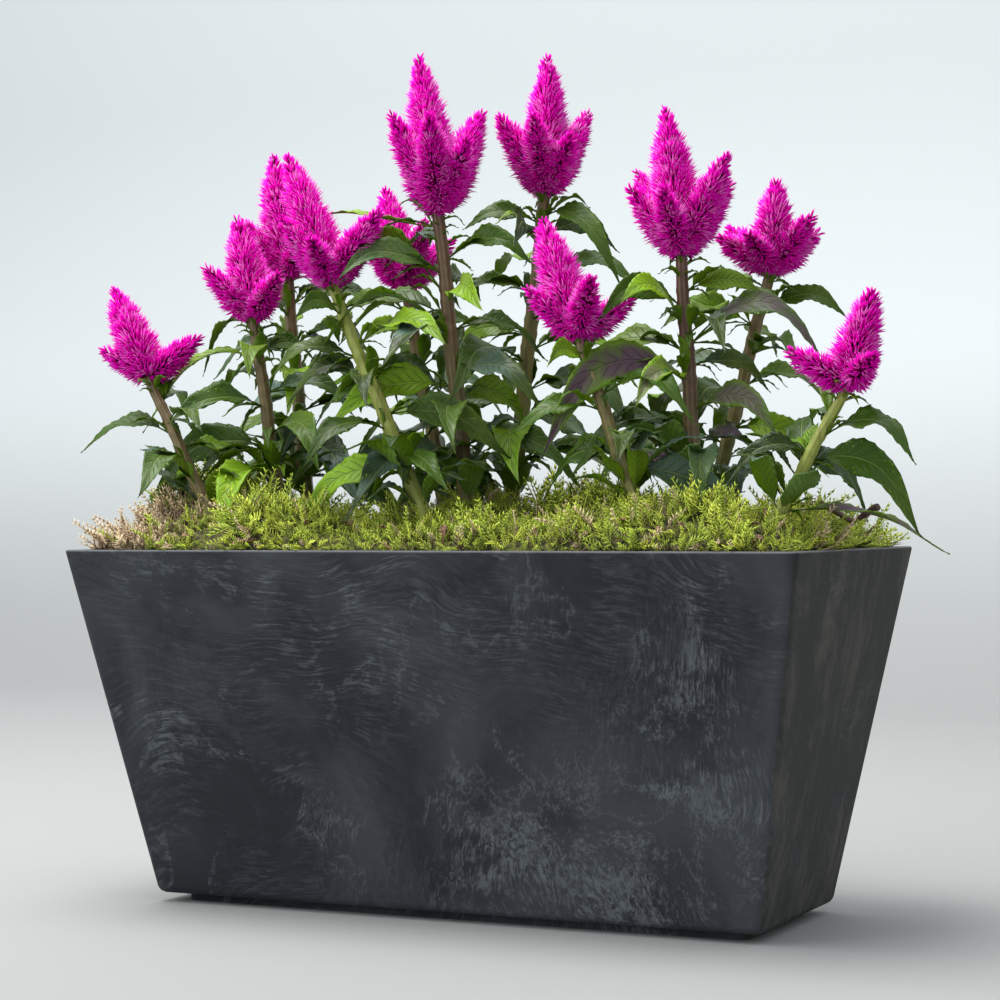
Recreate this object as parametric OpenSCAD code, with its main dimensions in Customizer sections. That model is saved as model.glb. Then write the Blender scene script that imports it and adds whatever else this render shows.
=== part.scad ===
// Tapered trough planter with a water reservoir, planted with plumed celosia and moss.
// Millimetres. X runs along the trough, -Y is its front, Z is up. The origin is on the ground
// under the middle of the trough.

/* [Trough] */
// Length over the rim
top_length = 430; // [400:5:460]
// Width over the rim
top_width = 205; // [195:5:230]
// Length of the body at its lower edge
base_length = 362; // [340:2:380]
// Width of the body at its lower edge
base_width = 120; // [110:2:140]
// Height from the ground to the rim
height = 200; // [190:2:210]
// Thickness of walls and floor
wall = 6; // [4:0.5:8]
// Radius of the upright corners
corner_r = 5; // [4:0.5:8]
// Height of the foot that lifts the body off the ground
foot_height = 5; // [3:1:8]
// Distance that the foot is set back under the body
foot_inset = 12; // [8:1:18]

/* [Reservoir] */
// Height of the top of the perforated shelf
shelf_top = 36; // [32:1:44]
// Thickness of the shelf plate
shelf_thickness = 4; // [3:0.5:5]
// Diameter of the overflow bore in the back wall
bore_d = 14; // [10:1:16]
// Height of the middle of the overflow bore at the outer wall
bore_height = 20; // [19:1:22]

/* [Planting] */
// Height of the flat top of the soil
soil_top = 192; // [185:1:194]
// Gap between the soil and the trough
soil_gap = 2; // [1:0.5:3]
// Length of a large lower leaf
leaf_length = 74; // [60:2:80]
// Width of a leaf as a share of its length
leaf_slimness = 0.4; // [0.3:0.02:0.42]
// Height from one leaf of a stem to the next
leaf_pitch = 8; // [8:0.5:12]
// Scale of the flower spikes' thickness
spike_scale = 1; // [0.8:0.05:1.1]

/* [Hidden] */
floor_top = foot_height + wall;
rim_r = 1.6;
base_edge_r = 4;
corner_steps = 6;
round_steps = 4;
// Share of a lower edge's round that the upright corners follow
outer_corner_share = 0.6;
inner_corner_share = 0.5;
// Overlap that joins two solids of one sub-part
seam = 0.5;

// How far the walls lean out over the height of the body
lean_x = (top_length - base_length) / 2 / (height - foot_height);
lean_y = (top_width - base_width) / 2 / (height - foot_height);
lean_angle = atan(lean_y);

well_x = 115;
well_top_r = 22;
well_foot_r = 16;
well_wall = 2.5;
hole_d = 7;
hole_pitch = 24;
cross_hole_d = 5;
cross_hole_z = 9;
shelf_corner_r = 6;
shelf_edge_gap = 2;

plug_gap = 0.3;
plug_flange_r = 12;
plug_flange = 3;
plug_chamfer = 2;
plug_reach = 3;
plug_seat = 0.2;
plug_edge = 0.6;
plug_grip_r = 4;
plug_grip = 6;

soil_corner_r = 6;
soil_leg_lift = 1;

root_z = 170;
moss_level = 9;
moss_gap = 2.5;
moss_rim_drop = 4;
moss_fade = 11;
moss_cells = [30, 13];
// Mounds of the moss bed: [x, y, height, radius]
MOUNDS = [
  [-172, 8, 36, 40],
  [-196, -20, 14, 25],
  [-110, -48, 16, 40],
  [-5, 10, 18, 38],
  [62, 30, 26, 32],
  [140, -45, 14, 45],
  [185, 20, 8, 30],
];

// Plants stand in three rows: front, middle and back
ROW_Y = [-42, -10, 46];
// One line for each plant, from left to right: [place along the trough at the rim, row,
// lean to the right, height of the stem above the rim, length of the flower head, side spikes]
PLANT = [
  [-145, 0, -50, 95, 55, 2],
  [-125, 1, -20, 130, 60, 3],
  [-140, 2, -15, 160, 75, 3],
  [-10, 0, -65, 145, 75, 5],
  [-45, 2, -30, 150, 60, 4],
  [-5, 1, -20, 185, 90, 6],
  [-10, 2, 25, 200, 80, 6],
  [115, 0, -40, 110, 65, 4],
  [130, 1, -10, 155, 80, 6],
  [110, 2, 40, 150, 50, 6],
  [175, 0, 45, 80, 50, 3],
];
// Large leaves that stand out from the spiral:
// [plant, height above the rim, bearing from +X, length, width, rise, arch, turn]
FEATURE_LEAVES = [
  [9, 90, 220, 80, 30, -30, 20, 0.8],
  [9, 110, 10, 70, 25, 0, 20, 0.5],
  [9, 120, 255, 55, 20, 10, 15, 0.6],
  [11, 20, 30, 85, 15, -15, 5, 0.2],
  [11, 45, 15, 55, 25, -25, 10, 0.7],
  [7, 190, 345, 55, 20, -35, 15, 0.6],
  [6, 180, 195, 80, 10, 15, 0, 0],
  [6, 145, 185, 60, 25, 20, 15, -0.4],
  [6, 120, 215, 75, 25, -10, 25, 0],
  [4, 95, 190, 45, 20, -10, 10, 0.6],
  [2, 110, 205, 65, 15, -35, 15, 0.3],
  [2, 130, 175, 35, 10, -20, 10, 0],
];

// The leaf spiral
golden_angle = 137.5;
golden_ratio = 0.618;
leaves_lowest = 42;
leaves_highest = 12;
leaf_least = 0.75;
leaf_spread = 0.45;
leaf_taper = 0.28;
small_plant = 0.65;
low_droop = 0.36;
high_rise = 0.1;
arch_share = 0.16;
least_turn = 0.25;
turn_spread = 0.5;

// Blade width along a leaf: [place along it, part of its full width]
BLADE = [[0.14, 0.2], [0.3, 0.68], [0.48, 1], [0.68, 0.8], [0.86, 0.36]];
blade_thickness = 1;
leaf_joint_depth = 0.6;
// Direction that a blade faces when it is turned to the front
front = [0.43, -0.9, 0];

// Route of the twig: [x, y, z]
TWIG = [[150, 30, 206], [168, 20, 222], [190, 12, 224], [210, 4, 214], [226, -4, 222]];
twig_r = 1.6;
twig_end_swell = 1.3;

// Stems and flower heads
stem_foot_r = 3.2;
stem_growth = 0.01;
stem_taper = 0.68;
stem_steps = 8;
stem_into_bloom = 4;
sweep_guide = [0.1, 1, 0.2];
spike_foot = 0.5;
spike_belly = 0.28;
spike_shoulder = 0.65;
spike_shoulder_r = 0.7;
main_spike_r = 8.5;
main_spike_growth = 0.045;
side_spike_r = 2.5;
side_spike_growth = 0.12;
side_spike_reach = 28;
whorl_start = 200;
whorl_spread = 35;
side_spike_low = 0.32;
side_spike_rise = 0.36;
head_follows_stem = 0.7;
head_lean = -5;

PLANTS = [for (i = [1:len(PLANT)]) i];

function unit(v) = v / norm(v);
function mix(a, b, t) = a + (b - a) * t;
function half_length(z) = base_length / 2 + lean_x * (z - foot_height);
function half_width(z) = base_width / 2 + lean_y * (z - foot_height);

// Points of a rounded rectangle at height z
function ring(a, b, r, z) = [
  for (q = [0:3]) for (i = [0:corner_steps])
    let (
      turn = 90 * q + 90 * i / corner_steps,
      sx = (q == 0 || q == 3) ? 1 : -1,
      sy = q < 2 ? 1 : -1
    )
    [sx * (a - r) + r * cos(turn), sy * (b - r) + r * sin(turn), z]
];

// Solid skin over rings that all have the same number of points
module skin(rings) {
  n = len(rings[0]);
  last = len(rings) - 1;
  polyhedron(
    points = [for (row = rings) each row],
    faces = [
      [for (i = [0:n - 1]) i],
      for (k = [0:last - 1]) for (i = [0:n - 1])
        let (j = (i + 1) % n)
        each [
          [k * n + i, (k + 1) * n + i, (k + 1) * n + j],
          [k * n + i, (k + 1) * n + j, k * n + j]
        ],
      [for (i = [n - 1:-1:0]) last * n + i]
    ]
  );
}

// Tube of 8 sides with a ring square to each stretch of the path
module sweep(path, radii, sides = 8) {
  last = len(path) - 1;
  skin([
    for (k = [0:last])
      let (
        ahead = unit(path[min(k + 1, last)] - path[max(k - 1, 0)]),
        side = unit(cross(ahead, sweep_guide)),
        up = cross(side, ahead)
      )
      [for (i = [0:sides - 1])
        path[k] + radii[k] * (side * cos(360 * i / sides) - up * sin(360 * i / sides))]
  ]);
}

// ---------- Trough ----------

// How far a quarter round of radius r has drawn in after a turn from its start
function round_offset(r, turn) = r * (1 - cos(turn));

// Outer body with a rounded lower edge and a rounded rim
module outer_body() {
  lower = [
    for (i = [0:round_steps])
      let (
        turn = 90 * i / round_steps,
        z = foot_height + round_offset(base_edge_r, turn),
        cut = base_edge_r * (1 - sin(turn))
      )
      ring(half_length(z) - cut, half_width(z) - cut, corner_r - cut * outer_corner_share, z)
  ];
  upper = [
    for (i = [0:round_steps])
      let (
        turn = 90 * i / round_steps,
        z = height - rim_r + rim_r * sin(turn),
        cut = round_offset(rim_r, turn)
      )
      ring(half_length(z) - cut, half_width(z) - cut, corner_r - cut, z)
  ];
  skin(concat(lower, upper));
}

// Hollow with a rounded lower edge and a rounded inner lip
module hollow() {
  inner_r = corner_r - 1;
  lower = [
    for (i = [0:round_steps])
      let (
        turn = 90 * i / round_steps,
        z = floor_top + round_offset(base_edge_r, turn),
        cut = wall + base_edge_r * (1 - sin(turn))
      )
      ring(half_length(z) - cut, half_width(z) - cut, inner_r - (cut - wall) * inner_corner_share, z)
  ];
  lip = [
    for (i = [0:round_steps])
      let (
        turn = 90 * i / round_steps,
        z = height - rim_r + rim_r * sin(turn),
        cut = wall - round_offset(rim_r, turn)
      )
      ring(half_length(z) - cut, half_width(z) - cut, inner_r + wall - cut, z)
  ];
  above = height + 1;
  open = ring(half_length(height) - wall + rim_r, half_width(height) - wall + rim_r,
    inner_r + rim_r, above);
  skin(concat(lower, lip, [open]));
}

// Plate with round corners, standing on z = 0
module rounded_plate(length, width, r, thickness) {
  translate([-length / 2 + r, -width / 2, 0]) cube([length - 2 * r, width, thickness]);
  translate([-length / 2, -width / 2 + r, 0]) cube([length, width - 2 * r, thickness]);
  for (sx = [-1, 1]) for (sy = [-1, 1])
    translate([sx * (length / 2 - r), sy * (width / 2 - r), 0])
      cylinder(r = r, h = thickness, $fn = 48);
}

// Carries its children to the overflow bore: the origin is on the outer face of the back wall
// and +Z points out of the wall
module at_bore() {
  translate([0, half_width(bore_height), bore_height]) rotate([-90 - lean_angle, 0, 0]) children();
}

module planter_shell() {
  foot_r = 8;
  foot_wall = 8;
  foot_inner_r = 4;
  foot_length = base_length - 2 * foot_inset;
  foot_width = base_width - 2 * foot_inset;
  color("#33373d") difference() {
    union() {
      difference() {
        outer_body();
        hollow();
      }
      difference() {
        rounded_plate(foot_length, foot_width, foot_r, foot_height + seam);
        translate([0, 0, -1])
          rounded_plate(foot_length - 2 * foot_wall, foot_width - 2 * foot_wall,
            foot_inner_r, foot_height + 1);
      }
    }
    at_bore() cylinder(d = bore_d, h = 6 * wall, center = true, $fn = 64);
  }
}

module drain_plug() {
  shaft_r = bore_d / 2 - plug_gap;
  color("#1d1e20") at_bore() {
    rotate_extrude($fn = 64) polygon([
      [0, -wall - plug_reach],
      [shaft_r - plug_chamfer, -wall - plug_reach],
      [shaft_r, -wall - plug_reach + plug_chamfer],
      [shaft_r, plug_seat],
      [plug_flange_r - plug_edge, plug_seat],
      [plug_flange_r, plug_seat + plug_edge],
      [plug_flange_r, plug_flange - 1],
      [plug_flange_r - 1, plug_flange],
      [plug_grip_r, plug_flange],
      [plug_grip_r, plug_flange + plug_grip - 1],
      [plug_grip_r - 1, plug_flange + plug_grip],
      [0, plug_flange + plug_grip]
    ]);
  }
}

// Cup that stands on the floor and wets the soil that fills it
module wick_well(gap = 0) {
  cup_height = shelf_top - floor_top;
  cylinder(r1 = well_foot_r - gap, r2 = well_top_r - gap, h = cup_height, $fn = 64);
}

module drainage_shelf() {
  plate_z = shelf_top - shelf_thickness;
  length = 2 * (half_length(plate_z) - wall - shelf_edge_gap);
  width = 2 * (half_width(plate_z) - wall - shelf_edge_gap);
  cut = 2 * shelf_thickness;
  color("#26282b") difference() {
    union() {
      translate([0, 0, plate_z]) rounded_plate(length, width, shelf_corner_r, shelf_thickness);
      for (sx = [-1, 1]) translate([sx * well_x, 0, floor_top]) wick_well();
    }
    for (sx = [-1, 1]) translate([sx * well_x, 0, floor_top + well_wall]) wick_well(well_wall);
    for (ix = [-3:3]) for (iy = [-1:1])
      translate([ix * hole_pitch, iy * hole_pitch, plate_z - cut / 4])
        cylinder(d = hole_d, h = cut, $fn = 32);
    for (sx = [-1, 1]) for (turn = [45, 135])
      translate([sx * well_x, 0, floor_top + cross_hole_z]) rotate([90, 0, turn])
        cylinder(d = cross_hole_d, h = 3 * well_top_r, center = true, $fn = 32);
  }
}

// ---------- Planting ----------

module potting_soil() {
  low = shelf_top;
  leg_gap = well_wall + soil_gap;
  color("#3a2d22") {
    skin([for (z = [low, soil_top])
      ring(half_length(z) - wall - soil_gap, half_width(z) - wall - soil_gap, soil_corner_r, z)]);
    for (sx = [-1, 1]) translate([sx * well_x, 0, floor_top + well_wall + soil_leg_lift])
      cylinder(r1 = well_foot_r - leg_gap, r2 = well_top_r - leg_gap,
        h = low - floor_top - well_wall - soil_leg_lift + seam, $fn = 48);
  }
}

function mound(x, y, i = 0) = i == len(MOUNDS) ? 0 :
  let (m = MOUNDS[i], d = norm([x - m[0], y - m[1]]) / m[3])
  m[2] * exp(-d * d) + mound(x, y, i + 1);
function fade(d) = let (t = min(1, max(0, d / moss_fade))) t * t * (3 - 2 * t);
function moss_z(x, y, a, b) =
  height - moss_rim_drop + fade(a - abs(x)) * fade(b - abs(y)) * (moss_level + mound(x, y));

module moss_bed() {
  a = half_length(soil_top) - wall - moss_gap;
  b = half_width(soil_top) - wall - moss_gap;
  nx = moss_cells[0];
  ny = moss_cells[1];
  row = nx + 1;
  grid = [for (j = [0:ny]) for (i = [0:nx])
    [mix(-a, a, i / nx), mix(-b, b, j / ny)]];
  edge = concat(
    [for (i = [0:nx - 1]) i],
    [for (j = [0:ny - 1]) j * row + nx],
    [for (i = [nx:-1:1]) ny * row + i],
    [for (j = [ny:-1:1]) j * row]
  );
  n = len(edge);
  count = len(grid);
  color("#9dbb2c") polyhedron(
    points = concat(
      [for (p = grid) [p[0], p[1], moss_z(p[0], p[1], a, b)]],
      [for (e = edge) [grid[e][0], grid[e][1], soil_top]],
      [[0, 0, soil_top]]
    ),
    faces = [
      for (j = [0:ny - 1]) for (i = [0:nx - 1])
        let (p = j * row + i)
        each [[p, p + row, p + row + 1], [p, p + row + 1, p + 1]],
      for (k = [0:n - 1])
        let (k2 = (k + 1) % n)
        each [
          [edge[k], edge[k2], count + k2],
          [edge[k], count + k2, count + k],
          [count + k, count + k2, count + n]
        ]
    ]
  );
}

module twig() {
  color("#3b2a24") sweep(TWIG, [twig_r, twig_r, twig_r, twig_r, twig_r * twig_end_swell]);
}

function stem_top(i) = height + PLANT[i - 1][3];
// Middle of stem i at height z, on a straight line through its place at the rim
function stem_at(i, z) =
  let (p = PLANT[i - 1], t = (z - height) / p[3])
  [p[0] + p[2] * t, ROW_Y[p[1]], z];
function stem_r(i, z) =
  let (foot = stem_foot_r + stem_growth * PLANT[i - 1][3])
  mix(foot, foot * stem_taper, (z - root_z) / (stem_top(i) - root_z));

module stem(i) {
  heights = [for (k = [0:stem_steps]) mix(root_z, stem_top(i) + stem_into_bloom, k / stem_steps)];
  color("#7b6a4a") sweep([for (z = heights) stem_at(i, z)], [for (z = heights) stem_r(i, z)]);
}

// One blade from its joint, along an arched middle line, to its tip
module leaf(joint, reach, width, arch, turn) {
  facing = (1 - abs(turn)) * [0, 0, 1] + turn * front;
  side = unit(cross(facing, reach));
  rings = [for (b = BLADE)
    let (
      t = b[0],
      middle = joint + t * reach + [0, 0, arch * 4 * t * (1 - t)],
      ahead = unit(reach + [0, 0, arch * 4 * (1 - 2 * t)]),
      half = side * width * b[1] / 2,
      thick = unit(cross(ahead, side)) * blade_thickness / 2
    )
    [middle - half, middle - thick, middle + half, middle + thick]];
  last = len(rings) - 1;
  count = 4 * len(rings);
  polyhedron(
    points = concat([for (r = rings) each r], [joint, joint + reach]),
    faces = [
      for (i = [0:3])
        let (j = (i + 1) % 4)
        each [
          [count, i, j],
          for (k = [0:last - 1])
            each [
              [k * 4 + i, (k + 1) * 4 + i, (k + 1) * 4 + j],
              [k * 4 + i, (k + 1) * 4 + j, k * 4 + j]
            ],
          [last * 4 + i, count + 1, last * 4 + j]
        ]
    ]
  );
}

// Joint of a leaf, just under the skin of the stem on the side that the leaf points to
function leaf_joint(i, z, reach) =
  stem_at(i, z) + unit([reach[0], reach[1], 0]) * (stem_r(i, z) - leaf_joint_depth);

function fraction(x) = x - floor(x);
// A value from 0 to 1 that differs from leaf to leaf and from plant to plant
function vary(i, k) = fraction(golden_ratio * (3 * i + k));
function toward(bearing, length, rise) = [length * cos(bearing), length * sin(bearing), rise];
function leaf_count(i) =
  floor((PLANT[i - 1][3] - leaves_lowest - leaves_highest) / leaf_pitch) + 1;

module leaves(i) {
  count = leaf_count(i);
  vigour = mix(small_plant, 1, PLANT[i - 1][3] / height);
  color("#4c6b33") {
    for (k = [0:count - 1]) {
      up = k / count;
      z = height + leaves_lowest + k * leaf_pitch;
      length = leaf_length * vigour * (leaf_least + leaf_spread * vary(i, k)) * (1 - leaf_taper * up);
      reach = toward(golden_angle * (k + i), length, length * mix(-low_droop, high_rise, up));
      leaf(leaf_joint(i, z, reach), reach, leaf_slimness * length, arch_share * length,
        least_turn + turn_spread * vary(k, i));
    }
    for (f = FEATURE_LEAVES) if (f[0] == i) {
      reach = toward(f[2], f[3], f[5]);
      leaf(leaf_joint(i, height + f[1], reach), reach, f[4], f[6], f[7]);
    }
  }
}

// One flower spike: a slender body that swells and then runs out to a point
module spike(foot, reach, r) {
  length = norm(reach);
  translate(foot) rotate([0, acos(reach[2] / length), atan2(reach[1], reach[0])]) hull() {
    cylinder(h = spike_belly * length, r1 = spike_foot * r, r2 = r, $fn = 8);
    translate([0, 0, spike_shoulder * length])
      cylinder(h = (1 - spike_shoulder) * length, r1 = spike_shoulder_r * r, r2 = 0, $fn = 8);
  }
}

// The main spike carries on the way the stem leans, and side spikes stand in a whorl round it
module bloom(i) {
  p = PLANT[i - 1];
  foot = stem_at(i, stem_top(i));
  main = [p[4] * head_follows_stem * p[2] / p[3] + head_lean, 0, p[4]];
  color("#c8109c") {
    spike(foot, main, (main_spike_r + main_spike_growth * p[4]) * spike_scale);
    for (k = [1:p[5]]) {
      share = side_spike_low + side_spike_rise * vary(i, k);
      bearing = whorl_start + 360 * k / p[5] + whorl_spread * vary(i, k);
      side = toward(bearing, side_spike_reach, share * p[4]);
      spike(foot, side, (side_spike_r + side_spike_growth * norm(side)) * spike_scale);
    }
  }
}

planter_shell();
drain_plug();
drainage_shelf();
potting_soil();
moss_bed();
twig();
for (i = PLANTS) {
  stem(i);
  leaves(i);
  bloom(i);
}
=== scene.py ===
# Looks of the planter box: the trough and its reservoir parts, the root ball, the moss and the
# celosia plants. Each piece takes its place from a CAD node, and most take their size from it too.
# The backdrop, the lamps and the camera have places of their own here.

import math

import bpy
import numpy as np
from mathutils import Matrix, Vector
from mathutils.bvhtree import BVHTree
from mathutils import noise


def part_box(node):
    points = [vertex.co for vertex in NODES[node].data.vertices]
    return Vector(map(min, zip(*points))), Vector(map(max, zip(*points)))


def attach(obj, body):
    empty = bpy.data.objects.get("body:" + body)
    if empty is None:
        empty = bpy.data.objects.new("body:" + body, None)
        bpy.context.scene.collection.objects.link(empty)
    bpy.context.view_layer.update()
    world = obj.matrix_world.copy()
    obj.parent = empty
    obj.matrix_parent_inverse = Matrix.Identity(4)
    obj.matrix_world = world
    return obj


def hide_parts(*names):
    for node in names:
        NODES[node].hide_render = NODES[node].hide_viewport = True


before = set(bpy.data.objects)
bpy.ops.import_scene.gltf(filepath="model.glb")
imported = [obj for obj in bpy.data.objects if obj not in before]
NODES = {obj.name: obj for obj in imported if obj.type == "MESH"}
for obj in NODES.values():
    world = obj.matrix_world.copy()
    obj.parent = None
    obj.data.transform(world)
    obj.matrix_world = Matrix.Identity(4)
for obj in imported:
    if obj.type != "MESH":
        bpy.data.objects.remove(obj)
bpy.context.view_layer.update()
PLANTS = range(1, 1 + sum(name.startswith("stem_") for name in NODES))
MM = 0.001
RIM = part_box("planter_shell")[1].z
UP = np.array([0.0, 0.0, 1.0])
GOLDEN_ANGLE = math.radians(137.5)
# Not parallel to any stem or spike, so that a cross product with it gives a side
SKEW = np.array([0.1, 1.0, 0.2])

# ---------- Mesh tools ----------


def unit(v):
    v = np.asarray(v, float)
    return v / np.maximum(np.linalg.norm(v, axis=-1, keepdims=True), 1e-12)


def mix(a, b, t):
    return a + (b - a) * t


def smooth_step(low, high, x):
    t = np.clip((x - low) / (high - low), 0, 1)
    return t * t * (3 - 2 * t)


def welded(node):
    """Points and triangles of a CAD node, with the importer's doubled points joined."""
    mesh = NODES[node].data
    co = np.array([v.co for v in mesh.vertices], float)
    _, first, back = np.unique(np.round(co / 1e-6), axis=0, return_index=True, return_inverse=True)
    mesh.calc_loop_triangles()
    tris = np.array([t.vertices for t in mesh.loop_triangles], int)
    tris = back.reshape(-1)[tris]
    whole = (tris[:, 0] != tris[:, 1]) & (tris[:, 1] != tris[:, 2]) & (tris[:, 2] != tris[:, 0])
    return co[first], tris[whole]


def neighbours(count, tris):
    near = [set() for _ in range(count)]
    for a, b, c in tris:
        near[a] |= {b, c}
        near[b] |= {a, c}
        near[c] |= {a, b}
    return near


class Heap:
    """Gathers shapes into one mesh, with named values on their points."""

    def __init__(self):
        self.verts, self.faces, self.values, self.count = [], [], {}, 0

    def add(self, verts, faces, **values):
        verts = np.asarray(verts, float).reshape(-1, 3)
        self.verts.append(verts)
        self.faces += [np.asarray(f, int) + self.count for f in faces if len(f)]
        for name, value in values.items():
            value = np.asarray(value, float)
            shape = (len(verts), 3) if value.shape[-1:] == (3,) else (len(verts),)
            self.values.setdefault(name, []).append(np.broadcast_to(value, shape))
        self.count += len(verts)

    def build(self, name, body, slot, material, replaces=(), smooth=True):
        mesh = bpy.data.meshes.new(name)
        faces = [row for f in self.faces for row in f.tolist()]
        mesh.from_pydata(np.concatenate(self.verts).tolist(), [], faces)
        for key, parts in self.values.items():
            value = np.concatenate(parts).astype(np.float32)
            kind, field = ("FLOAT_VECTOR", "vector") if value.ndim == 2 else ("FLOAT", "value")
            mesh.attributes.new(key, kind, "POINT").data.foreach_set(field, value.ravel())
        mesh.polygons.foreach_set("use_smooth", np.full(len(mesh.polygons), smooth))
        mesh.materials.append(material)
        mesh.update()
        made = bpy.data.objects.new(name, mesh)
        bpy.context.scene.collection.objects.link(made)
        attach(made, body)
        if replaces:
            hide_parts(*replaces)
        return made


def grid_faces(rows, columns, closed):
    """Quads of a grid whose rows follow each other, closed round into a tube if asked."""
    r, c = np.meshgrid(np.arange(rows - 1), np.arange(columns if closed else columns - 1), indexing="ij")
    r, c = r.ravel(), c.ravel()
    d = (c + 1) % columns
    return np.stack([r * columns + c, r * columns + d, (r + 1) * columns + d, (r + 1) * columns + c], 1)


def tube(path, radii, sides, ribs=0, rib_depth=0.0, twist=0.0):
    """A closed tube along a path, with ribs along its length. Returns points, faces, rib heights."""
    path = np.asarray(path, float)
    ahead = unit(np.gradient(path, axis=0))
    side = unit(np.cross(ahead, SKEW))
    other = np.cross(ahead, side)
    lap = np.linspace(0, 2 * math.pi, sides, endpoint=False)
    angle = lap[None, :] + np.linspace(0, twist, len(path))[:, None]
    rib = np.cos(ribs * angle) if ribs else np.zeros_like(angle)
    radius = np.asarray(radii, float)[:, None] * (1 + rib_depth * rib)
    ring = side[:, None] * np.cos(angle)[..., None] + other[:, None] * np.sin(angle)[..., None]
    verts = (path[:, None] + radius[..., None] * ring).reshape(-1, 3)
    n = len(verts)
    last = (len(path) - 1) * sides + np.arange(sides)
    first = np.arange(sides)
    caps = np.concatenate([
        np.stack([np.full(sides, n), np.roll(first, -1), first], 1),
        np.stack([np.full(sides, n + 1), last, np.roll(last, -1)], 1),
    ])
    verts = np.concatenate([verts, path[:1], path[-1:]])
    return verts, [grid_faces(len(path), sides, True), caps], np.append(rib.ravel(), [0, 0])


# ---------- Shader tools ----------


class Shader:
    """One material. Its methods add a node, join what it reads and give back its main output."""

    def __init__(self, name, roughness, **fixed):
        self.material = bpy.data.materials.new(name)
        self.material.use_nodes = True
        self.tree = self.material.node_tree
        self.surface = self.tree.nodes["Principled BSDF"]
        self.put(self.surface, "Roughness", roughness)
        for key, value in fixed.items():
            self.put(self.surface, key.replace("_", " "), value)

    def put(self, node, key, value):
        if isinstance(value, bpy.types.NodeSocket):
            self.tree.links.new(value, node.inputs[key])
        else:
            node.inputs[key].default_value = value

    def add(self, kind, inputs=(), output=0, **settings):
        node = self.tree.nodes.new("ShaderNode" + kind)
        for key, value in settings.items():
            setattr(node, key, value)
        for key, value in dict(inputs).items():
            self.put(node, key, value)
        return node.outputs[output]

    def place(self):
        return self.add("TexCoord", output="Object")

    def value(self, name, output="Fac"):
        """A value that the mesh holds on its points."""
        return self.add("Attribute", output=output, attribute_name=name)

    def part(self, vector, axis):
        return self.add("SeparateXYZ", {"Vector": vector}, output=axis)

    def maths(self, operation, a, b=0.0):
        return self.add("Math", {0: a, 1: b}, operation=operation)

    def times(self, first, *others):
        for other in others:
            first = self.maths("MULTIPLY", first, other)
        return first

    def stretched(self, vector, scale):
        return self.add("Mapping", {"Vector": vector, "Scale": scale})

    def noise(self, vector, scale, detail=4.0, rough=0.55, warp=0.0):
        keys = {"Vector": vector, "Scale": scale, "Detail": detail, "Roughness": rough, "Distortion": warp}
        return self.add("TexNoise", keys)

    def band(self, value, low, high, start=0.0, end=1.0):
        """A value taken smoothly from start to end as it goes from low to high."""
        keys = {0: value, 1: low, 2: high, 3: start, 4: end}
        return self.add("MapRange", keys, interpolation_type="SMOOTHSTEP")

    def blend(self, share, a, b):
        """Colour a, with a share of colour b. Inputs 0, 6 and 7 of a Mix node are its factor and colours."""
        node = self.tree.nodes.new("ShaderNodeMix")
        node.data_type = "RGBA"
        for key, value in ((0, share), (6, a), (7, b)):
            self.put(node, key, value if isinstance(value, (float, bpy.types.NodeSocket)) else (*value, 1.0))
        return node.outputs[2]

    def colour(self, socket):
        self.put(self.surface, "Base Color", socket)

    def bump(self, height, depth, strength=1.0):
        keys = {"Height": height, "Distance": depth, "Strength": strength}
        self.put(self.surface, "Normal", self.add("Bump", keys))


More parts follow.
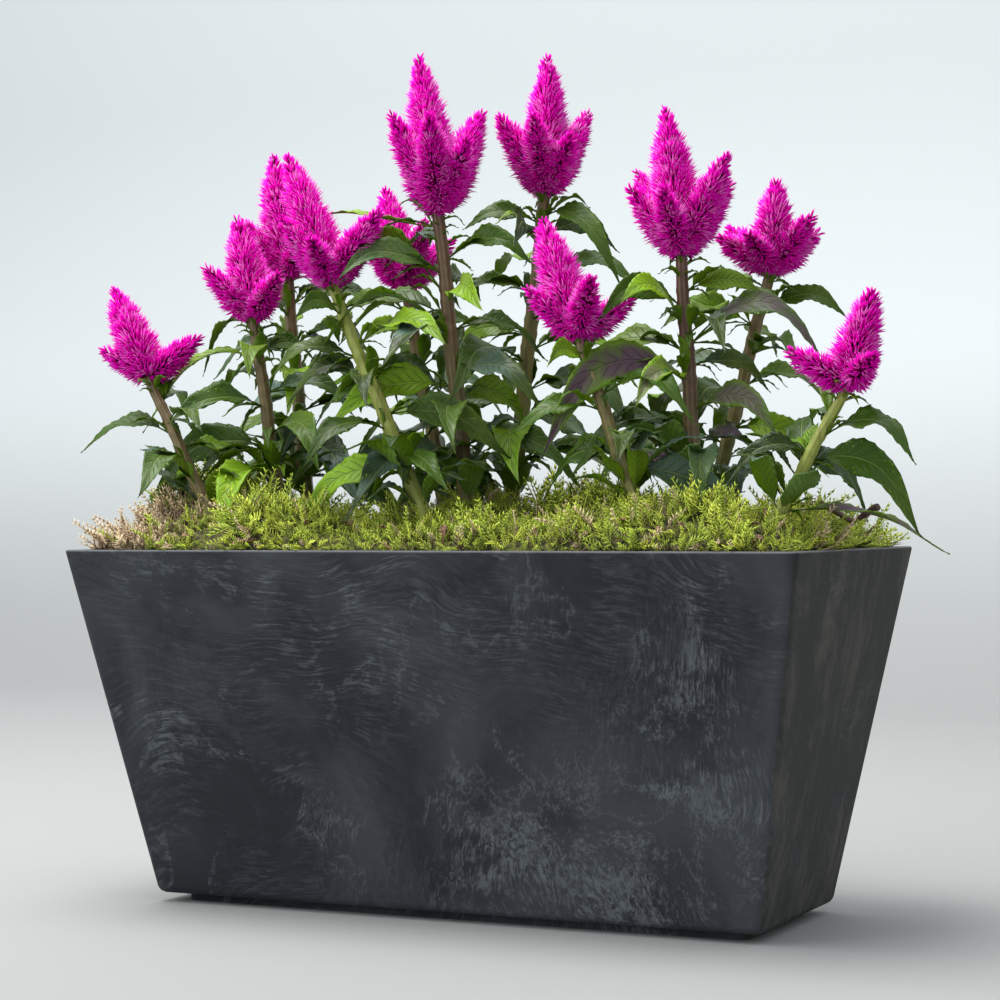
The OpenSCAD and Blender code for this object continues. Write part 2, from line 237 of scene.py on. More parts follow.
def stone():
    """Dark mineral-filled composite, with combed hair-like streaks, pale feathery wisps and clouds."""
    s = Shader("charcoal_composite", 0.6, Specular_IOR_Level=0.12)
    at = s.place()
    cloud = s.noise(at, 9.0, 5.0, 0.6, 0.8)
    drift = s.add("TexNoise", {"Vector": at, "Scale": 4.2, "Detail": 2.5}, output="Color")
    bent = s.add("VectorMath", {0: drift, 1: (0.2, 0.2, 0.2), 2: at}, operation="MULTIPLY_ADD")

    fine, long = 520.0, 60.0
    upright = s.noise(s.stretched(bent, (fine, fine, long)), 1.0, 6.0, 0.72, 0.9)
    level = s.noise(s.stretched(bent, (long, long, fine)), 1.0, 6.0, 0.72, 0.9)
    turn = s.band(s.noise(at, 6.0, 2.0), 0.44, 0.56)
    hair = s.maths("ADD", s.times(upright, turn), s.times(level, s.maths("SUBTRACT", 1.0, turn)))
    combed = s.times(s.band(hair, 0.44, 0.7), s.band(s.noise(bent, 10.0, 4.0, 0.6), 0.38, 0.6))

    patch = s.band(s.maths("ADD", s.noise(bent, 21.0, 9.0, 0.72), s.times(hair, 0.55)), 0.78, 0.94)
    veil = s.band(s.noise(at, 10.5, 2.0, 0.5), 0.5, 0.6)
    feather = s.times(patch, veil, s.band(hair, 0.34, 0.6, 0.3, 1.0))
    ridge = s.maths("ABSOLUTE", s.maths("SUBTRACT", s.noise(bent, 19.0, 7.0, 0.62), 0.5))
    fray = s.times(s.band(ridge, 0.028, 0.0), s.band(hair, 0.4, 0.6))
    thread = s.times(fray, s.band(s.noise(at, 13.0, 2.0), 0.45, 0.58))

    base = s.blend(s.band(cloud, 0.36, 0.66), (0.0205, 0.023, 0.0275), (0.05, 0.0555, 0.0645))
    base = s.blend(s.times(combed, 0.5), base, (0.102, 0.114, 0.132))
    base = s.blend(s.times(thread, 0.65), base, (0.11, 0.122, 0.14))
    base = s.blend(s.times(feather, 0.66), base, (0.135, 0.148, 0.166))

    # The two end walls are painted darker and warmer, a painted shade for how the light falls on them, with
    # broad upright streaks of the composite's own
    end = s.band(s.maths("ABSOLUTE", s.part(s.add("NewGeometry", output="Normal"), "X")), 0.5, 0.8)
    run = s.noise(s.stretched(bent, (46.0, 46.0, 13.0)), 1.0, 7.0, 0.72)
    base = s.blend(s.times(end, 0.55), base, (0.026, 0.0245, 0.018))
    base = s.blend(s.times(end, s.band(run, 0.46, 0.7, 0.0, 0.66)), base, (0.1, 0.097, 0.08))

    # Painted highlight: a thin lighter line just under the top of the rim, where light catches its edge
    painted_rim_highlight = s.times(s.band(s.part(at, "Z"), RIM - 1.2 * MM, RIM - 0.4 * MM), 0.45)
    s.colour(s.blend(painted_rim_highlight, base, (0.2, 0.21, 0.225)))
    s.put(s.surface, "Roughness", s.band(cloud, 0.3, 0.7, 0.54, 0.72))
    s.bump(s.maths("ADD", s.times(combed, 0.3), s.noise(at, 900.0, 2.0)), 0.00012, 0.5)
    return s.material


def moulded(name, tint, roughness, grain=1500.0):
    """Moulded plastic or rubber, with a fine spark texture, scuffs and a little dust."""
    s = Shader(name, roughness)
    at = s.place()
    scuff = s.noise(s.stretched(at, (1.0, 3.0, 1.0)), 60.0, 6.0, 0.7)
    dusty = s.blend(s.band(scuff, 0.52, 0.72, 0.0, 0.5), tint, tuple(0.06 + 1.6 * c for c in tint))
    s.colour(dusty)
    s.put(s.surface, "Roughness", s.band(scuff, 0.3, 0.7, roughness - 0.12, roughness + 0.12))
    s.bump(s.noise(at, grain, 2.0), 0.0001, 0.6)
    return s.material


def earth(name, dark, light, scale=160.0):
    """Bark and peat crumbs with pale specks of perlite."""
    s = Shader(name, 0.9)
    at = s.place()
    crumb = s.add("TexVoronoi", {"Vector": at, "Scale": scale})
    grain = s.noise(at, scale * 2.5, 6.0, 0.7)
    base = s.blend(s.band(s.maths("ADD", crumb, s.times(grain, 0.8)), 0.5, 1.3), dark, light)
    speck = s.band(s.add("TexVoronoi", {"Vector": at, "Scale": scale * 0.9}), 0.09, 0.05)
    rare = s.maths("GREATER_THAN", s.noise(at, scale * 0.6, 0.0), 0.62)
    s.colour(s.blend(s.times(speck, rare), base, (0.5, 0.47, 0.4)))
    s.bump(s.maths("SUBTRACT", grain, crumb), 0.0016, 0.8)
    return s.material


VEIN_COUNT = 12.0
VEIN_SLANT = 0.16


def leaf_skin():
    """Leaf whose bump sinks its veins. The value leaf holds place along, place across and upper side."""
    s = Shader("celosia_leaf", 0.4, Specular_IOR_Level=0.18, Coat_Weight=0.06, Coat_Roughness=0.22)
    spot = s.value("leaf", "Vector")
    along, upper = s.part(spot, "X"), s.part(spot, "Z")
    across = s.maths("ABSOLUTE", s.part(spot, "Y"))
    tone, purple = s.value("tone"), s.value("purple")
    at = s.place()

    # 0.5 on a side vein, 0 halfway to the next
    phase = s.times(s.maths("SUBTRACT", along, s.times(across, VEIN_SLANT)), VEIN_COUNT)
    near = s.maths("ABSOLUTE", s.maths("SUBTRACT", s.maths("FRACT", phase), 0.5))
    side_vein = s.times(s.band(near, 0.36, 0.5), s.band(across, 1.0, 0.3))
    vein = s.maths("MAXIMUM", s.band(across, 0.11, 0.03), s.times(side_vein, 0.75))
    # Painted shade: darker along the sunk side veins, where shade falls in their grooves
    painted_vein_shade = s.times(s.band(across, 0.9, 0.2), s.band(near, 0.3, 0.5))
    mottle = s.noise(at, 190.0, 5.0, 0.6)

    shade = s.blend(s.band(tone, 0.0, 0.6), (0.005, 0.017, 0.0008), (0.036, 0.092, 0.003))
    # Painted light: the brightest tones give a bright yellow-green that stands in for light shining through
    # backlit leaves
    shade = s.blend(s.band(tone, 0.6, 1.0), shade, (0.2, 0.37, 0.006))
    shade = s.blend(s.band(mottle, 0.35, 0.7, 0.0, 0.26), shade, (0.085, 0.14, 0.025))
    shade = s.blend(s.times(s.band(s.noise(at, 18.0, 2.0), 0.48, 0.62), 0.5), shade, (0.1, 0.16, 0.02))
    # Painted sheen: cool grey-green patches on the darker leaves stand in for the sky's reflection on them
    bloom = s.times(s.band(tone, 0.5, 0.1, 0.0, 0.85), s.band(s.noise(at, 16.0, 2.0), 0.46, 0.58))
    shade = s.blend(bloom, shade, (0.115, 0.19, 0.155))
    # Undersides are paler, and partly painted light: their bright yellow-green stands in for light shining
    # through the leaf
    shade = s.blend(upper, s.blend(0.6, shade, (0.17, 0.31, 0.008)), shade)
    # Painted shade in the grooves of the side veins
    shade = s.blend(s.times(painted_vein_shade, 0.35), shade, (0.012, 0.035, 0.008))
    shade = s.blend(s.times(vein, 0.32), shade, (0.24, 0.33, 0.08))
    flush = s.times(s.band(s.noise(at, 34.0, 3.0), 0.36, 0.56), purple, s.band(across, 1.0, 0.5))
    s.colour(s.blend(flush, shade, (0.12, 0.06, 0.105)))
    s.put(s.surface, "Roughness", s.band(mottle, 0.3, 0.7, 0.3, 0.46))
    s.bump(s.maths("SUBTRACT", s.times(mottle, 0.3), vein), 0.0006, 1.0)
    return s.material


def stem_skin():
    """Ribbed stem, green to reddish brown by the point value tone, darker in its furrows."""
    s = Shader("celosia_stem", 0.48)
    tone, rib = s.value("tone"), s.value("rib")
    streak = s.noise(s.stretched(s.place(), (420.0, 420.0, 26.0)), 1.0, 5.0, 0.6)
    base = s.blend(s.band(tone, 0.0, 0.5), (0.32, 0.38, 0.06), (0.17, 0.125, 0.045))
    base = s.blend(s.band(tone, 0.5, 1.0), base, (0.1, 0.038, 0.026))
    base = s.blend(s.band(rib, -0.2, 1.0, 0.0, 0.4), base, (0.3, 0.25, 0.1))
    s.colour(s.blend(s.band(streak, 0.45, 0.75, 0.0, 0.6), base, (0.045, 0.03, 0.014)))
    s.bump(streak, 0.0003, 0.7)
    return s.material


def plume():
    """Floret, dark at its foot and pale pink at its point by the point value reach."""
    s = Shader("celosia_plume", 0.6, Specular_IOR_Level=0.04)
    reach, tone = s.value("reach"), s.value("tone")
    base = s.blend(s.band(reach, 0.1, 0.55), (0.05, 0.0, 0.028), (0.64, 0.0, 0.345))
    base = s.blend(s.band(reach, 0.5, 0.8), base, (0.9, 0.0, 0.55))
    base = s.blend(s.band(reach, 0.84, 1.0, 0.0, 0.9), base, (1.0, 0.26, 0.86))
    base = s.blend(s.band(tone, 0.0, 1.0, 0.0, 0.45), base, (0.58, 0.0, 0.3))
    pale = s.times(s.band(tone, 0.6, 0.85, 0.0, 0.7), s.band(reach, 0.4, 0.9))
    s.colour(s.blend(pale, base, (1.0, 0.25, 0.78)))
    return s.material


def moss_skin():
    """Moss, from deep to yellow green by the point value reach, or straw where dry is 1."""
    s = Shader("moss", 0.7, Sheen_Weight=0.15)
    reach, tone, dry = s.value("reach"), s.value("tone"), s.value("dry")
    base = s.blend(s.band(reach, 0.0, 0.8), (0.035, 0.06, 0.003), (0.4, 0.53, 0.012))
    base = s.blend(s.band(tone, 0.3, 1.0, 0.0, 0.6), base, (0.78, 0.84, 0.07))
    straw = s.blend(s.band(reach, 0.0, 1.0), (0.2, 0.1, 0.045), (0.84, 0.66, 0.4))
    s.colour(s.blend(s.band(dry, 0.3, 0.9), base, straw))
    return s.material


def bark(name, dark, light):
    """Mottled dry skin for bark, roots and litter."""
    s = Shader(name, 0.75)
    grain = s.noise(s.place(), 380.0, 6.0, 0.65, 0.6)
    s.colour(s.blend(s.band(grain, 0.35, 0.7), dark, light))
    s.bump(grain, 0.0006, 0.8)
    return s.material


# ---------- Stems ----------


CAD_STEM_SIDES = 8


def stem_line(i):
    """Foot, head and their radii of CAD stem i, from its two end rings."""
    points, _ = welded(f"stem_{i}")
    along = unit(points[np.argmax(points[:, 2])] - points[np.argmin(points[:, 2])])
    order = np.argsort(points @ along)
    ends = [points[order[:CAD_STEM_SIDES]], points[order[-CAD_STEM_SIDES:]]]
    middles = [e.mean(0) for e in ends]
    radii = [np.linalg.norm(e - m, axis=1).mean() for e, m in zip(ends, middles)]
    return middles[0], middles[1], radii[0], radii[1]


STEM_RIBS = 8
# How red each stem is, from 0 for green: the plants that differ from the rest
REDNESS = {4: 0.05, 11: 0.08, 6: 0.72, 9: 0.95, 7: 0.4, 8: 0.42, 10: 0.45}
USUAL_REDNESS = 0.62


def ribbed_stem(i, joints):
    """A stem with ribs, swollen at the height of each leaf joint."""
    foot, head, low_r, high_r = stem_line(i)
    t = np.linspace(0, 1, 90)
    path = mix(foot, head, t[:, None])
    sway = 0.35 * MM * np.sin(t * 17 + i)[:, None] * np.array([1.0, 0.6, 0.0])
    radii = mix(low_r, high_r, t) * 0.96
    for z in joints:
        radii = radii * (1 + 0.13 * np.exp(-(((path[:, 2] - z) / (1.6 * MM)) ** 2)))
    verts, faces, rib = tube(path + sway, radii, 4 * STEM_RIBS, STEM_RIBS, 0.055, 0.5)
    redness = REDNESS.get(i, USUAL_REDNESS)
    rise = (verts[:, 2] - foot[2]) / (head[2] - foot[2])
    heap = Heap()
    heap.add(verts, faces, rib=rib, tone=np.clip(redness * mix(0.3, 1.25, rise), 0, 1))
    return heap


# ---------- Leaves ----------


def leaf_skeletons(node, foot, head):
    """Joint, tip, arch, side and half width of each leaf of a CAD node, in a fixed order."""
    points, tris = welded(node)
    near = neighbours(len(points), tris)
    seen, found = set(), []
    for start in range(len(points)):
        if start in seen:
            continue
        part, todo = [start], [start]
        seen.add(start)
        while todo:
            for n in near[todo.pop()] - seen:
                seen.add(n)
                part.append(n)
                todo.append(n)
        found.append(leaf_from(part, points, near, foot, unit(head - foot)))
    return sorted(found, key=lambda leaf: tuple(np.round(leaf["joint"] * 1e5)))


# A CAD leaf's widest ring: its number from the joint, and its place along the leaf
WIDEST_RING = 3
WIDEST_AT = 0.48


def leaf_from(part, points, near, foot, stem_way):
    """Reads one leaf: from the point nearest the stem, its rings of 4 follow step by step."""
    ends = [p for p in part if len(near[p]) == 4 and all(len(near[q]) > 4 for q in near[p])]
    ends = sorted(ends or part, key=lambda p: np.linalg.norm(np.cross(points[p] - foot, stem_way)))
    rings, reached = [[ends[0]]], {ends[0]}
    while True:
        step = {q for p in rings[-1] for q in near[p]} - reached
        if not step:
            break
        rings.append(sorted(step))
        reached |= step
    joint, tip = points[rings[0][0]], points[rings[-1][0]]
    widest, half, side = rings[WIDEST_RING], 0.0, None
    for a in widest:
        for b in widest:
            gap = points[b] - points[a]
            if np.linalg.norm(gap) > 2 * half:
                half, side = np.linalg.norm(gap) / 2, unit(gap)
    middle = points[widest].mean(0)
    arch = (middle - mix(joint, tip, WIDEST_AT)) / (4 * WIDEST_AT * (1 - WIDEST_AT))
    return {"joint": joint, "tip": tip, "arch": arch, "side": side, "half": half}


# Points along and across a leaf and a small leaf
LEAF_GRID = (40, 9)
SMALL_GRID = (18, 5)
# Width of a blade as a share of its CAD solid's
SLIM = 0.8
# Part of a leaf's length that is its petiole
PETIOLE = 0.13
NOTCHES = 13


def blade(leaf, rng, tone, purple, heap, grid=SMALL_GRID):
    """One leaf as a closed skin: a petiole, and a folded, waved, quilted blade with a drawn-out tip."""
    steps, across = grid
    t = np.linspace(0, 1, steps)
    v = np.linspace(-1, 1, across)
    length = np.linalg.norm(leaf["tip"] - leaf["joint"])
    bend = 4 * t * (1 - t)
    middle = mix(leaf["joint"], leaf["tip"], t[:, None]) + bend[:, None] * leaf["arch"]
    ahead = unit(np.gradient(middle, axis=0))
    side = unit(leaf["side"] - (ahead @ leaf["side"])[:, None] * ahead)
    normal = np.cross(ahead, side)
    if normal[:, 2].mean() < 0:
        normal, side = -normal, -side
    turn = rng.uniform(-0.9, 0.9) * (t - 0.3)
    side, normal = (
        side * np.cos(turn)[:, None] + normal * np.sin(turn)[:, None],
        normal * np.cos(turn)[:, None] - side * np.sin(turn)[:, None],
    )
    s = np.clip((t - PETIOLE) / (1 - PETIOLE), 0, 1)
    shape = s**0.8 * (1 - s) ** 1.45
    notch = 1 + 0.03 * np.sin(2 * math.pi * NOTCHES * t)
    width = np.maximum(SLIM * leaf["half"] * shape / shape.max() * notch, 0.45 * MM * (1 - 0.8 * t))
    fold, wave, phase = rng.uniform(0.1, 0.4), rng.uniform(0.1, 0.26), rng.uniform(0, 6.3)
    bow = rng.uniform(-0.09, 0.09) * length * np.sin(math.pi * t)
    snake = rng.uniform(-0.04, 0.04) * length * t * np.sin(2 * math.pi * t)
    flat = np.abs(v)[None, :]
    veins = np.cos(2 * math.pi * VEIN_COUNT * (t[:, None] - VEIN_SLANT * flat))
    quilt = 0.4 * MM * veins * flat * (s > 0)[:, None]
    ripple = np.sin(2 * math.pi * 2.6 * t[:, None] + phase + 2 * v[None, :])
    lift = width[:, None] * (fold * flat**1.2 + wave * ripple * flat**2) + quilt
    droop = -rng.uniform(0.04, 0.24) * length * smooth_step(0.45, 1.0, t) ** 2
    middle = middle + droop[:, None] * UP + (bow + snake)[:, None] * side
    sheet = middle[:, None] + side[:, None] * (width[:, None] * v[None, :] * (1 - 0.2 * fold))[..., None]
    sheet = sheet + normal[:, None] * lift[..., None]
    thick = 0.16 * MM + 0.55 * MM * np.exp(-((flat / 0.12) ** 2)) * (1 - t[:, None]) ** 0.8
    top = sheet + normal[:, None] * 0.08 * MM
    low = sheet - normal[:, None] * np.broadcast_to(thick, sheet.shape[:2])[..., None]
    n = steps * across
    quads = grid_faces(steps, across, False)
    ids = np.arange(n).reshape(steps, across)
    rim = np.concatenate([ids[0], ids[1:, -1], ids[-1, -2::-1], ids[-2:0:-1, 0]])
    after = np.roll(rim, -1)
    skirt = np.stack([rim, after, after + n, rim + n], 1)
    spot = np.stack(np.broadcast_arrays(t[:, None], v[None, :], 1.0), -1).reshape(-1, 3)
    below = spot * [1, 1, 0]
    heap.add(
        np.concatenate([top.reshape(-1, 3), low.reshape(-1, 3)]),
        [quads[:, ::-1], quads + n, skirt],
        leaf=np.concatenate([spot, below]),
        tone=tone,
        purple=purple,
    )


def small_leaf(joint, way, length, slim, rng):
    """A bract, young leaf or basal leaf that isn't in the CAD model."""
    way = unit(way)
    side = unit(np.cross(way, UP + 1e-3))
    return {
        "joint": joint, "tip": joint + way * length, "arch": UP * length * rng.uniform(0.05, 0.2),
        "side": side, "half": length * slim / 2,
    }


# Plants whose long leaves have a purple flush, and the one where leaves of any length may have it
FLUSHED_PLANTS = (9, 11)
MOST_FLUSHED = 9
YOUNG_PER_JOINT = 2
BRACTS = 9
BASAL_LEAVES = 7


def foliage(i, rng):
    """All leaves of plant i, with young leaves in their axils, bracts under the head and basal leaves."""
    foot, head, _, _ = stem_line(i)
    leaves = leaf_skeletons(f"leaves_{i}", foot, head)
    heap = Heap()
    longest = max(np.linalg.norm(leaf["tip"] - leaf["joint"]) for leaf in leaves)
    for leaf in leaves:
        length = np.linalg.norm(leaf["tip"] - leaf["joint"])
        rise = (leaf["joint"][2] - foot[2]) / (head[2] - foot[2])
        # The spread of tone is the leaves' own; lifting about a quarter of the leaves into the brightest
        # tones is painted light through backlit leaves
        tone = np.clip(rng.normal(0.34, 0.24) + (0.45 if rng.random() < 0.24 else 0) + 0.12 * rise, 0, 1)
        flushed = 0.9 if i in FLUSHED_PLANTS and length > 0.8 * longest else 0.0
        if i == MOST_FLUSHED and rng.random() < 0.25:
            flushed = 0.6
        blade(leaf, rng, tone, flushed, heap, LEAF_GRID)
        for _ in range(YOUNG_PER_JOINT):
            way = unit(leaf["tip"] - leaf["joint"]) + rng.normal(0, 0.45, 3) + 0.35 * UP
            young = small_leaf(leaf["joint"], way, rng.uniform(12, 34) * MM, rng.uniform(0.24, 0.38), rng)
            blade(young, rng, rng.uniform(0.3, 0.95), 0, heap)
    for k in range(BRACTS):
        angle = k * GOLDEN_ANGLE
        way = np.array([math.cos(angle), math.sin(angle), rng.uniform(0.0, 0.7)])
        joint = mix(head, foot, 0.03 + 0.008 * k)
        bract = small_leaf(joint, way, rng.uniform(9, 20) * MM, 0.3, rng)
        blade(bract, rng, rng.uniform(0.45, 0.9), 0, heap)
    for k in range(BASAL_LEAVES):
        angle = i + k * GOLDEN_ANGLE
        way = np.array([math.cos(angle), math.sin(angle), rng.uniform(0.5, 1.1)])
        lift = (RIM + rng.uniform(14, 40) * MM - foot[2]) / (head[2] - foot[2])
        basal = small_leaf(mix(foot, head, lift), way, rng.uniform(34, 56) * MM, rng.uniform(0.3, 0.44), rng)
        blade(basal, rng, rng.uniform(0.0, 0.45), 0, heap, LEAF_GRID)
    return heap, [leaf["joint"][2] for leaf in leaves]


# ---------- Flower heads ----------


SHORTEST_SPIKE = 15 * MM
FLORET_PITCH = 2.7 * MM
TEPALS = 5
TEPAL_CURL = 0.1


def spike_axes(i):
    """Foot of CAD flower head i, and the direction, length and widest radius of each of its spikes."""
    points, tris = welded(f"bloom_{i}")
    near = neighbours(len(points), tris)
    foot = stem_line(i)[1]
    far = np.linalg.norm(points - foot, axis=1)
    peaks = [p for p in range(len(points)) if near[p] and all(far[q] < far[p] for q in near[p])]
    tips = [p for p in peaks if far[p] > SHORTEST_SPIKE]
    axes = []
    for p in tips:
        way, length = unit(points[p] - foot), far[p]
        along = (points - foot) @ way / length
        off = np.linalg.norm(points - foot - np.outer(along * length, way), axis=1)
        ring = off[(np.abs(along - 0.65) < 0.06) & (off < 0.35 * length)]
        radius = np.median(ring) / 0.7 if len(ring) > 2 else 2.5 * MM + 0.12 * length
        axes.append((way, length, radius))
    return foot, axes


def body_radius(t):
    """A spike's width along its length, as a share of its widest."""
    return np.interp(t, [0, 0.12, 0.28, 0.65, 0.88, 1.0], [0.5, 0.82, 1.0, 0.72, 0.34, 0.06])


def tepals(at, way, axis, length, width, closed, tone, heap):
    """Slender closed tepals, each with a swollen middle and a point that bends along the axis."""
    side = unit(np.cross(way, axis + 0.01))
    other = np.cross(way, side)
    angle = np.arange(3) * 2 * math.pi / 3
    ring = side[:, None] * np.cos(angle)[None, :, None] + other[:, None] * np.sin(angle)[None, :, None]
    reach, wide = length[:, None], width[:, None]
    belly = at + way * reach * 0.45
    point = at + way * reach + axis * reach * TEPAL_CURL
    verts = np.concatenate([
        at[:, None] + ring * (0.3 * wide)[..., None],
        belly[:, None] + ring * (0.5 * wide)[..., None],
        point[:, None],
    ], 1)
    a, b = np.arange(3), np.roll(np.arange(3), -1)
    shape = np.concatenate([
        [[0, 2, 1]],
        np.stack([a, b, b + 3], 1), np.stack([a, b + 3, a + 3], 1),
        np.stack([a + 3, b + 3, np.full(3, 6)], 1),
    ])
    faces = (shape[None] + 7 * np.arange(len(at))[:, None, None]).reshape(-1, 3)
    reach = np.array([0.12] * 3 + [0.55] * 3 + [1.0])[None, :] * (1 - 0.18 * closed[:, None])
    heap.add(verts, [faces], reach=reach.ravel(), tone=np.repeat(tone, 7))


def spike(foot, way, length, radius, rng, heap):
    """A bottle brush of florets, each a small star of tepals, in a golden-angle spiral round a dark core."""
    side = unit(np.cross(way, SKEW))
    other = np.cross(way, side)
    t = np.linspace(0, 0.97, 16)
    core, faces, _ = tube(foot + np.outer(t * length, way), body_radius(t) * radius * 0.42, 12)
    heap.add(core, faces, reach=0.0, tone=0.4)
    fine = np.linspace(0.01, 1.0, 400)
    area = np.cumsum(body_radius(fine) + 0.14)
    count = int(length * radius * 2 * math.pi * 0.6 / FLORET_PITCH**2)
    k = np.arange(count)
    along = np.interp((k + 0.5) / count, area / area[-1], fine) + rng.normal(0, 0.006, count)
    angle = k * GOLDEN_ANGLE + rng.normal(0, 0.07, count)
    out = np.cos(angle)[:, None] * side + np.sin(angle)[:, None] * other
    lean = np.radians(mix(0, 62, np.clip(along, 0, 1) ** 1.2)) + rng.normal(0, 0.1, count)
    aim = unit(out * np.cos(lean)[:, None] + way * np.sin(lean)[:, None] + rng.normal(0, 0.05, (count, 3)))
    thick = body_radius(along) * radius
    at = foot + np.outer(along * length, way) + out * (0.34 * thick)[:, None]
    size = (0.72 * thick + mix(2.6, 3.2, along) * MM) * rng.uniform(0.8, 1.2, count)
    closed = smooth_step(0.6, 1.0, along)
    tone = rng.uniform(0, 1, count) ** 1.5
    width = mix(1.45, 1.0, closed) * MM
    for n in range(TEPALS):
        turn = 2 * math.pi * n / TEPALS + rng.uniform(0, 1, count)
        across = unit(np.cross(aim, way))
        spread = mix(0.27, 0.1, closed) * rng.uniform(0.6, 1.3, count)
        tilt = across * np.cos(turn)[:, None] + np.cross(aim, across) * np.sin(turn)[:, None]
        star = unit(aim + tilt * spread[:, None])
        tepals(at, star, way, size * rng.uniform(0.85, 1.1, count), width, closed, tone, heap)


# ---------- Moss, soil and litter ----------


def surface_points(node, count, rng, upward=0.15):
    """Random places and normals on the faces of a CAD node that look upward."""
    points, tris = welded(node)
    a, b, c = points[tris[:, 0]], points[tris[:, 1]], points[tris[:, 2]]
    cross = np.cross(b - a, c - a)
    area = np.linalg.norm(cross, axis=1) / 2
    normal = cross / np.maximum(2 * area, 1e-12)[:, None]
    share = np.where(normal[:, 2] > upward, area, 0)
    pick = rng.choice(len(tris), count, p=share / share.sum())
    u, v = rng.uniform(0, 1, count), rng.uniform(0, 1, count)
    over = u + v > 1
    u[over], v[over] = 1 - u[over], 1 - v[over]
    return a[pick] + u[:, None] * (b - a)[pick] + v[:, None] * (c - a)[pick], normal[pick]


SPRIG_KINDS = 8
SPRIGS_PER_PIECE = 2300
ROOTS = 70
LITTER_BITS = 110


def sprig_shape(rng, pairs=8):
    """One moss sprig about 1 long, along +Z: a bent stem and closed pointed leaflets, and their reach."""
    bow = rng.uniform(0.15, 0.5)
    stem_t = np.array([0, 0.5, 1.0])

    def line(t):
        return np.stack([bow * t**2, np.zeros_like(t), t * (1 - 0.2 * t)], -1)

    verts, faces, _ = tube(line(stem_t), [0.022, 0.018, 0.008], 3)
    parts, shapes, reach = [verts], list(faces), [np.append(np.repeat(stem_t * 0.7, 3), [0, 0.7])]
    total = len(verts)
    for k in range(pairs):
        t = mix(0.12, 1.0, (k + 0.5) / pairs)
        for sign in (-1, 1):
            angle = rng.normal(0, 0.5) + k * 0.9
            out = np.array([math.cos(angle) * 0.5, sign, 0.9 + 0.3 * rng.random()])
            out = unit(out) * mix(0.26, 0.1, t)
            side = unit(np.cross(out, UP)) * 0.026
            foot = line(np.array([t]))[0]
            leaflet = np.array([foot - side, foot + side, foot + np.array([0, 0, 0.012]), foot + out])
            parts.append(leaflet)
            shapes.append(total + np.array([[0, 1, 2], [0, 3, 1], [1, 3, 2], [2, 3, 0]]))
            reach.append([mix(0.2, 0.6, t)] * 3 + [mix(0.7, 1.0, t)])
            total += 4
    tris = [np.concatenate([f[:, [0, 1, 2]], f[:, [0, 2, 3]]]) if f.shape[1] == 4 else f for f in shapes]
    return np.concatenate(parts), np.concatenate(tris), np.concatenate(reach)


def inside_rim(points):
    """Draws points that are below the rim back inside the trough's walls."""
    low, high = (np.array(c)[:2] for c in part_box("moss_bed"))
    sunk = points[..., 2] < RIM + 1.0 * MM
    held = np.clip(points[..., :2], low + 2 * MM, high - 2 * MM)
    points[..., :2] = np.where(sunk[..., None], held, points[..., :2])
    return points


def sprigs(at, normal, size, dry, rng, heap):
    """Scatters sprigs that stand out of the moss, lean at random and hang over near the rim."""
    low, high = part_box("moss_bed")
    middle = (np.array(low) + np.array(high)) / 2
    half = (np.array(high) - np.array(low)) / 2
    edge = smooth_step(0.86, 1.0, np.abs(at - middle) / half)[:, :2] * np.sign(at - middle)[:, :2]
    lean = rng.normal(0, 0.62, at.shape)
    way = unit(normal + lean + np.concatenate([edge, np.zeros((len(at), 1))], 1) * 0.5)
    way = unit(way + UP * 0.15)
    side = unit(np.cross(way, rng.normal(0, 1, at.shape)))
    other = np.cross(way, side)
    shapes = [sprig_shape(rng) for _ in range(SPRIG_KINDS)]
    kind = rng.integers(0, len(shapes), len(at))
    for n, (verts, faces, reach) in enumerate(shapes):
        mine = np.where(kind == n)[0]
        if not len(mine):
            continue
        basis = np.stack([side[mine], other[mine], way[mine]], 1)
        placed = at[mine][:, None] + np.einsum("vk,nkx->nvx", verts, basis) * size[mine][:, None, None]
        placed = inside_rim(placed)
        count = len(verts)
        index = (faces[None] + count * np.arange(len(mine))[:, None, None]).reshape(-1, 3)
        heap.add(
            placed, [index], reach=np.tile(reach, len(mine)),
            tone=np.repeat(rng.uniform(0, 1, len(mine)), count), dry=np.repeat(dry[mine], count),
        )


def moss():
    """The moss in three pieces, each under the face limit of one STL file."""
    rng = np.random.default_rng(31)
    skin = moss_skin()
    low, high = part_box("moss_bed")
    for part in range(3):
        heap = Heap()
        at, normal = surface_points("moss_bed", SPRIGS_PER_PIECE, rng)
        fx = (at[:, 0] - low.x) / (high.x - low.x)
        fy = (at[:, 1] - low.y) / (high.y - low.y)
        straw = smooth_step(0.16, 0.06, fx) * smooth_step(0.45, 0.2, fy)
        dry = ((straw + rng.normal(0, 0.2, len(at)) > 0.5) | (rng.random(len(at)) < 0.08)).astype(float)
        tuft = np.array([noise.fractal(Vector(p) * 42.0, 1.0, 2.0, 2) for p in at])
        size = rng.uniform(10, 22, len(at)) * MM * (1 + 0.9 * np.clip(tuft, -0.75, 0.8))
        sprigs(at - normal * 2 * MM, normal, size, dry, rng, heap)
        heap.build(f"moss_{'abc'[part]}", "planting", "moss", skin, ["moss_bed"] if part == 0 else ())


